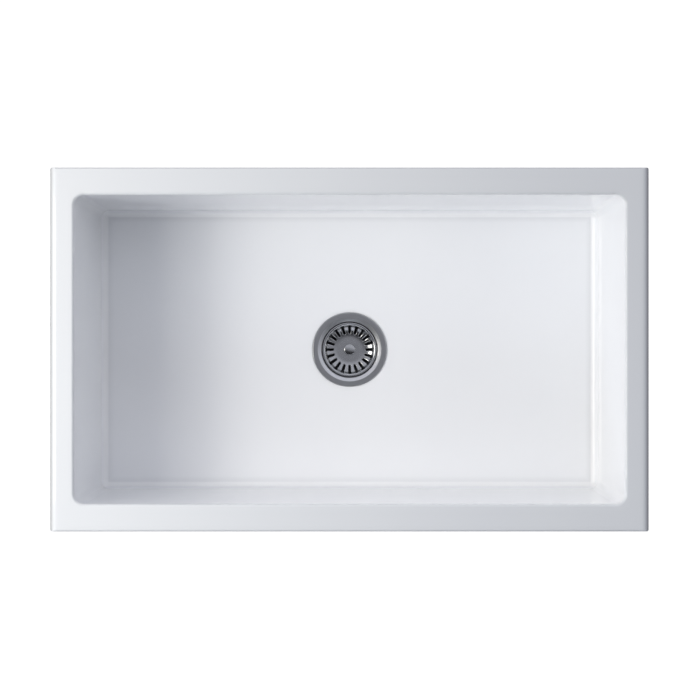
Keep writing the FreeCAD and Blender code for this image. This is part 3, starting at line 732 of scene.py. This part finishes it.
outer_section = np.concatenate([
    threaded(NECK_R, NECK_UNDER, NECK_TOP),
    [(SEAT_RING_R + BOTTOM_WALL, NECK_TOP)],
    threaded(BARREL_R, BARREL_UNDER, BARREL_THREAD_TOP),
    [(BARREL_R, LEDGE - FLANGE_SHEET),
     (FUNNEL_R + FLANGE_SHEET, LEDGE),
     (FUNNEL_R + FLANGE_SHEET, FUNNEL_FOOT),
     (MOUTH_R + FLANGE_SHEET / 2, flange_under)],
])
waste_section = np.concatenate([inner_section, outer_section])[::-1]
inside = np.arange(len(waste_section)) >= len(outer_section)
waste_grid = lathe(waste_section)
on_neck = (waste_section[:, 0] == NECK_R) & (waste_section[:, 1] < NECK_TOP)
on_barrel = (waste_section[:, 0] == BARREL_R) & (waste_section[:, 1] < BARREL_THREAD_TOP)
turn_share = np.arange(LATHE_STEPS) / LATHE_STEPS
winding = (waste_section[:, 1, None] / THREAD_PITCH - turn_share) % 1
cut = THREAD_DEPTH * np.abs(2 * winding - 1) * (on_neck | on_barrel)[:, None]
waste_grid[..., :2] *= (1 - cut / waste_section[:, 0, None])[..., None]
waste = make_piece("waste_body", waste_grid, "sink", ["strainer_body"])
# rows inside the cup below the funnel, which are rougher and take the painted shade
dull_and_shaded_rows = inside & (waste_section[:, 1] < FUNNEL_FOOT)
# rows of the funnel, which take the painted sheen
painted_sheen_rows = inside & ~dull_and_shaded_rows & (waste_section[:, 0] < MOUTH_R)

# %% [markdown]
# ## The basket
# A cup pressed from thin stainless sheet, with a dished floor and twenty slots cut through the
# dish. The cup is a section carried round the axis, as a lathe piece is, but the columns part
# round each slot: within a slot's sector the angle is squeezed to the slot's own half-angle, which
# is the arcsine of its half-width over the radius. The faces inside the slots are left out, and
# Solidify gives the sheet its thickness.

# %% Basket section
LIP_R = 41.8
LIP_TOP = 27.9
WALL_TOP_R = 38.4
WALL_FOOT_R = 36.8
BASKET_FLOOR = 7.5
BASKET_SHEET = 0.9
BASKET_CORNER = 3.0
DISH_R = 26.0
DISH_RISE = 5.0
DISH_ROUND = 34.0
BASKET_BEND = 2.1
BUSH_HOLE_R = 4.99
SLOTS = 20
SLOT_HALF = 1.9
SLOT_CORNER = 1.75
SLOT_START = 24.8
SLOT_END = 35.9
SLOT_ROWS = 30
DISC_ROWS = 18
CUP_STEPS = 16
LIP_EDGE = 0.5
LIP_TURN = 0.15

cup_section = section([
    (BUSH_HOLE_R, BASKET_FLOOR),
    (DISH_R, BASKET_FLOOR, DISH_ROUND),
    (WALL_FOOT_R, BASKET_FLOOR + DISH_RISE, BASKET_CORNER),
    (WALL_TOP_R, LIP_TOP, BASKET_BEND),
    (LIP_R - LIP_EDGE, LIP_TOP),
    (LIP_R, LIP_TOP - LIP_TURN),
], closed=False, steps=CUP_STEPS)
print("dish starts at", cup_section[1].round(2), "mm")

# %% [markdown]
# The slots are cut straight down, so their plan decides their shape: parallel sides, and ends rounded
# by nearly half their width. At a distance e from an end, inside its rounding c, the half-width is
# w - c + sqrt(c^2 - (c - e)^2). Rows crowd towards the ends, where the outline turns fastest.

# %% Basket sheet
LAND_COLUMNS = 4
SLOT_COLUMNS = 2
ROW_GAP = 0.15


def dished(radius):
    """Rows on the dished floor: each radius with its height on the cup's section."""
    return np.column_stack([radius, np.interp(radius, cup_section[:, 0], cup_section[:, 1])])


def basket_rows():
    """Section radii and heights from the bush's hole out to the lip, and which rows lie in a slot."""
    flat = dished(np.linspace(BUSH_HOLE_R, SLOT_START, DISC_ROWS)[:-1])
    wave = (1 - np.cos(np.linspace(0, math.pi, SLOT_ROWS))) / 2
    slotted = dished(SLOT_START + (SLOT_END - SLOT_START) * wave)
    above = cup_section[cup_section[:, 0] > SLOT_END + ROW_GAP]
    rows = np.concatenate([flat, slotted, above])
    first = len(flat)
    return rows, first, first + len(slotted) - 1


sheet_rows, slot_first, slot_last = basket_rows()


def slot_half_angle(radius):
    """Half-angle of the slot at a radius: arcsine of its half-width there over the radius."""
    nearest = np.minimum(radius - SLOT_START, SLOT_END - radius)
    reach = np.clip(SLOT_CORNER - nearest, 0, SLOT_CORNER)
    half = SLOT_HALF - SLOT_CORNER + np.sqrt(SLOT_CORNER ** 2 - reach ** 2)
    return np.arcsin(half / radius)


sector = math.pi / SLOTS
slot_share = np.linspace(-1, 1, SLOT_COLUMNS + 1)
land_share = np.linspace(0, 1, LAND_COLUMNS + 1)[1:-1]
clamped = np.clip(sheet_rows[:, 0], SLOT_START, SLOT_END)
half_angle = slot_half_angle(clamped)[:, None]
land = half_angle + 2 * (sector - half_angle) * land_share
columns = np.concatenate([half_angle * slot_share, land], axis=1)
turns = (columns[:, None, :] + 2 * sector * np.arange(SLOTS)[None, :, None]).reshape(len(sheet_rows), -1)
radius = sheet_rows[:, 0, None]
basket_grid = np.stack([radius * np.cos(turns), radius * np.sin(turns),
                        np.broadcast_to(sheet_rows[:, 1, None], turns.shape)], axis=-1)
print("basket grid:", basket_grid.shape[:2])

# %% Basket mesh
row_count, column_count = basket_grid.shape[:2]
quads = grid_faces(row_count, column_count, False)
row_of = np.repeat(np.arange(row_count - 1), column_count)
column_of = np.tile(np.arange(column_count), row_count - 1) % (SLOT_COLUMNS + LAND_COLUMNS)
in_slot = (row_of >= slot_first) & (row_of < slot_last) & (column_of < SLOT_COLUMNS)
sheet_mesh = bpy.data.meshes.new("basket_cup")
sheet_mesh.from_pydata((basket_grid.reshape(-1, 3) * MM).tolist(), [], quads[~in_slot].tolist())
sheet_mesh.shade_smooth()
basket = bpy.data.objects.new("basket_cup", sheet_mesh)
scene.collection.objects.link(basket)
gauge = basket.modifiers.new("sheet", "SOLIDIFY")
gauge.thickness = BASKET_SHEET * MM
gauge.offset = -1.0
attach(basket, "basket")
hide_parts("basket_shell")
print("basket faces:", len(sheet_mesh.polygons), "slot faces left out:", int(in_slot.sum()))

# %% [markdown]
# ## The knob
# The knob that lifts the stopper is turned from bar: a narrow neck, a flare under the fingers and a
# domed top, whose crown is an arc that touches the flat tip and the shoulder's cone. It is one section
# with a cap at each end, on the axis.

# %% Knob
POST_FIT_R = 3.02
KNOB_NECK_R = 5.0
KNOB_R = 8.5
KNOB_UNDER = 9.0
KNOB_WAIST = 11.6
KNOB_FLARE = 14.2
KNOB_TOP = 19.6
KNOB_SHOULDER = 18.1
KNOB_CROWN = 21.0
KNOB_EDGE = 0.85
KNOB_CAP_R = 0.25

knob_section = section([
    (POST_FIT_R, KNOB_UNDER),
    (KNOB_NECK_R, KNOB_UNDER, SMALL_ROUND),
    (KNOB_NECK_R, KNOB_WAIST, KNOB_EDGE),
    (KNOB_R, KNOB_FLARE, KNOB_EDGE),
    (KNOB_R, KNOB_SHOULDER, KNOB_EDGE),
    (KNOB_R / 2, KNOB_TOP, KNOB_CROWN),
    (KNOB_CAP_R, KNOB_TOP),
], closed=False)
knob = make_piece("lift_knob", lathe(knob_section), "stopper", ["pull_knob"],
                  closed=False, caps=[(0, True), (len(knob_section) - 1, False)])

# %% [markdown]
# ## Metals
# Spun stainless steel carries fine rings from the polishing belt as it turned, so its light smears
# across the rings. The funnel's steel is painted paler than the flange's, a painted sheen, though it is
# no smoother. The cup below it is rougher, and painted dark grey as painted shade in the hollow under
# the basket. Pressed sheet is smoother, and turned bar is nearly polished. Brass is left as cast on
# the locknut and the stopper's nut, and plated on the tailpiece and its coupling nut. A metal's colour
# is its reflection, so each has a base colour, a roughness with a little unevenness, and a bump at the
# size of its marks. The wave texture that draws the rings runs through twenty radians in each unit of
# length at a scale of one.

# %% Metals
WAVE_RADIANS = 20
RING_PERIOD = 2 * math.pi / WAVE_RADIANS
RING_WANDER = 0.6
RING_DETAIL = 2.0
RING_STRENGTH = 0.3
SPIN_MARK = 0.55 * MM
TURNING_MARK = 0.4 * MM
PLATED_MARK = 1.5 * MM
SMUDGE = 9 * MM
CAST_GRAIN = 0.9 * MM
GRAIN_STRENGTH = 0.4
METAL_DETAIL = 3.0


def spun_metal(name, shades, low, high, mark, depth):
    """Metal rubbed down as it turned: concentric marks of a given spacing, and roughness that drifts."""
    material, tree, surface, place = new_material(name)
    smudge = add_node(tree, "ShaderNodeTexNoise", Vector=place, Scale=1 / SMUDGE, Detail=METAL_DETAIL)
    colour = ramp(tree, smudge.outputs["Fac"], *shades)
    roughness = add_node(tree, "ShaderNodeMapRange", Value=smudge.outputs["Fac"], To_Min=low, To_Max=high)
    rings = add_node(tree, "ShaderNodeTexWave", {"wave_type": "RINGS", "rings_direction": "Z"},
                     Vector=place, Scale=RING_PERIOD / mark, Distortion=RING_WANDER, Detail=RING_DETAIL)
    marks = add_node(tree, "ShaderNodeBump", Height=rings.outputs["Fac"], Strength=RING_STRENGTH,
                     Distance=depth)
    metal = add_node(tree, "ShaderNodeBsdfPrincipled", Base_Color=colour, Metallic=1.0,
                     Roughness=roughness.outputs["Result"], Normal=marks.outputs["Normal"])
    tree.links.new(metal.outputs["BSDF"], surface)
    return material


def grained_metal(name, shades, low, high, grain, depth):
    """Metal left as it was cast: an even grain of a given size instead of rings."""
    material, tree, surface, place = new_material(name)
    speck = add_node(tree, "ShaderNodeTexNoise", Vector=place, Scale=1 / grain, Detail=METAL_DETAIL)
    colour = ramp(tree, speck.outputs["Fac"], *shades)
    roughness = add_node(tree, "ShaderNodeMapRange", Value=speck.outputs["Fac"], To_Min=low, To_Max=high)
    skin = add_node(tree, "ShaderNodeBump", Height=speck.outputs["Fac"], Strength=GRAIN_STRENGTH,
                    Distance=depth)
    metal = add_node(tree, "ShaderNodeBsdfPrincipled", Base_Color=colour, Metallic=1.0,
                     Roughness=roughness.outputs["Result"], Normal=skin.outputs["Normal"])
    tree.links.new(metal.outputs["BSDF"], surface)
    return material


finishes = {
    "satin_stainless": spun_metal(
        "satin_spun_stainless", ("#AEAFB1", "#B8B9BB"),
        low=0.26, high=0.36, mark=SPIN_MARK, depth=0.02 * MM),
    # painted sheen: the funnel's steel is a paler colour than the flange's, though no smoother
    "bright_stainless": spun_metal(
        "painted_sheen_stainless_funnel", ("#D8D9DB", "#E0E1E3"),
        low=0.3, high=0.38, mark=SPIN_MARK, depth=0.01 * MM),
    # painted shade: the cup inside the waste is rougher and painted dark grey, for the hollow under the
    # basket
    "dull_stainless": spun_metal(
        "rough_painted_shade_stainless_inside", ("#4C4D4F", "#5E5F61"),
        low=0.4, high=0.55, mark=SPIN_MARK, depth=0.02 * MM),
    "pressed_stainless": spun_metal(
        "bright_pressed_stainless", ("#B3B4B6", "#BDBEC0"),
        low=0.14, high=0.22, mark=SPIN_MARK, depth=0.008 * MM),
    "turned_stainless": spun_metal(
        "turned_stainless", ("#B3B4B6", "#BDBEC0"),
        low=0.12, high=0.18, mark=TURNING_MARK, depth=0.01 * MM),
    "plated_brass": spun_metal(
        "chromium_plated_brass", ("#D4D6D9", "#DEE0E3"),
        low=0.05, high=0.12, mark=PLATED_MARK, depth=0.003 * MM),
    "cast_brass": grained_metal(
        "cast_brass", ("#8F7440", "#B49455", "#C2A468"),
        low=0.35, high=0.55, grain=CAST_GRAIN, depth=0.12 * MM),
}
print("metals:", [material.name for material in finishes.values()])

# %% [markdown]
# ## Rubber, card and plastic
# The seals are moulded black rubber with a faint matt grain. The friction ring is pressed fibre card,
# brown with long fibres, so its noise is stretched. The tailpiece washer is white polyethylene, waxy
# and a little translucent.

# %% Soft materials
MOULD_GRAIN = 0.8 * MM
FIBRE = 2.5 * MM
FIBRE_STRETCH = (1.0, 0.25, 1.0)
WAX_GRAIN = 6 * MM
SOLID_DETAIL = 4.0
SOLID_STRENGTH = 0.5


def grained_solid(name, shades, roughness, grain, depth, stretch=(1.0, 1.0, 1.0), soak=0.0):
    """A dull solid: a colour that varies with its grain, a matt skin and, for waxes, some soak-in light."""
    material, tree, surface, place = new_material(name)
    along = add_node(tree, "ShaderNodeMapping", Vector=place, Scale=stretch)
    speck = add_node(tree, "ShaderNodeTexNoise", Vector=along.outputs["Vector"], Scale=1 / grain,
                     Detail=SOLID_DETAIL)
    colour = ramp(tree, speck.outputs["Fac"], *shades)
    skin = add_node(tree, "ShaderNodeBump", Height=speck.outputs["Fac"], Strength=SOLID_STRENGTH,
                    Distance=depth)
    solid = add_node(tree, "ShaderNodeBsdfPrincipled", Base_Color=colour, Roughness=roughness,
                     Normal=skin.outputs["Normal"], Subsurface_Weight=soak)
    solid.inputs["Subsurface Scale"].default_value = MM
    tree.links.new(solid.outputs["BSDF"], surface)
    return material


finishes["black_rubber"] = grained_solid(
    "moulded_black_rubber", ("#0E0E10", "#1A1A1C"), roughness=0.55, grain=MOULD_GRAIN, depth=0.04 * MM)
finishes["fibre_card"] = grained_solid(
    "pressed_fibre_card", ("#6E5436", "#94774F", "#A98B60"),
    roughness=0.92, grain=FIBRE, depth=0.08 * MM, stretch=FIBRE_STRETCH)
finishes["white_polyethylene"] = grained_solid(
    "white_polyethylene", ("#DFE2DF", "#ECEEEB"),
    roughness=0.35, grain=WAX_GRAIN, depth=0.02 * MM, soak=0.3)
print("finishes:", len(finishes))

# %% [markdown]
# Every CAD piece but the bowl takes the finish of its slot. The dressed waste body has three: satin on
# the flange and outside, rough steel with painted shade inside the cup, and a painted sheen on the funnel.

# %% Finishes on the pieces
for part in frame["record"]["subparts"]:
    shown = nodes[part["node"]]
    if part["material_slot"] in finishes:
        shown.data.materials.clear()
        shown.data.materials.append(finishes[part["material_slot"]])
waste_finishes = ["satin_stainless", "dull_stainless", "bright_stainless"]
SATIN, DULL_AND_SHADED, PAINTED_SHEEN = range(len(waste_finishes))
for finish in waste_finishes:
    waste.data.materials.append(finishes[finish])
finish_of_row = np.select([painted_sheen_rows, dull_and_shaded_rows], [PAINTED_SHEEN, DULL_AND_SHADED], SATIN)
waste.data.polygons.foreach_set("material_index", np.repeat(finish_of_row, LATHE_STEPS))
basket.data.materials.append(finishes["pressed_stainless"])
knob.data.materials.append(finishes["turned_stainless"])

# %% [markdown]
# ## Floor
# The photograph is cut out on white, so the floor is a pale sheet that glows a little and neither
# lights the sink nor shows in its glaze. It lies just under the tailpiece, at a height in the sink's
# millimetres, and turns up into a wall on each side. Only its inner side shows, so the sink can be
# looked at from below as well.

# %% Pale floor
FLOOR_SHEET = -118.0
FLOOR_SIZE = 12.0
FLOOR_WALL = 8.0
FLOOR_GLOW = 1.1

pale, tree, surface, _ = new_material("pale_floor")
glowing = add_node(tree, "ShaderNodeEmission", Color=linear("#FFFFFF"), Strength=FLOOR_GLOW)
unseen = add_node(tree, "ShaderNodeBsdfTransparent")
outer_side = tree.nodes.new("ShaderNodeNewGeometry").outputs["Backfacing"]
one_sided = add_node(tree, "ShaderNodeMixShader", Fac=outer_side)
tree.links.new(glowing.outputs["Emission"], one_sided.inputs[1])
tree.links.new(unseen.outputs["BSDF"], one_sided.inputs[2])
tree.links.new(one_sided.outputs["Shader"], surface)
half = FLOOR_SIZE / 2
spread = np.array([(-half, -half), (half, -half), (half, half), (-half, half)])
low = np.c_[spread, np.full(len(spread), FLOOR_SHEET * MM)]
high = low + (0.0, 0.0, FLOOR_WALL)
sides = len(spread)
base = tuple(range(sides))
walls = [((side + 1) % sides, side, side + sides, (side + 1) % sides + sides) for side in base]
floor_mesh = bpy.data.meshes.new("pale_floor")
floor_mesh.from_pydata(np.concatenate([low, high]).tolist(), [], [base] + walls)
floor_mesh.materials.append(pale)
ground = bpy.data.objects.new("pale_floor", floor_mesh)
ground.visible_diffuse = False
ground.visible_glossy = False
ground.visible_shadow = False
scene.collection.objects.link(ground)
print("floor at", FLOOR_SHEET, "mm")
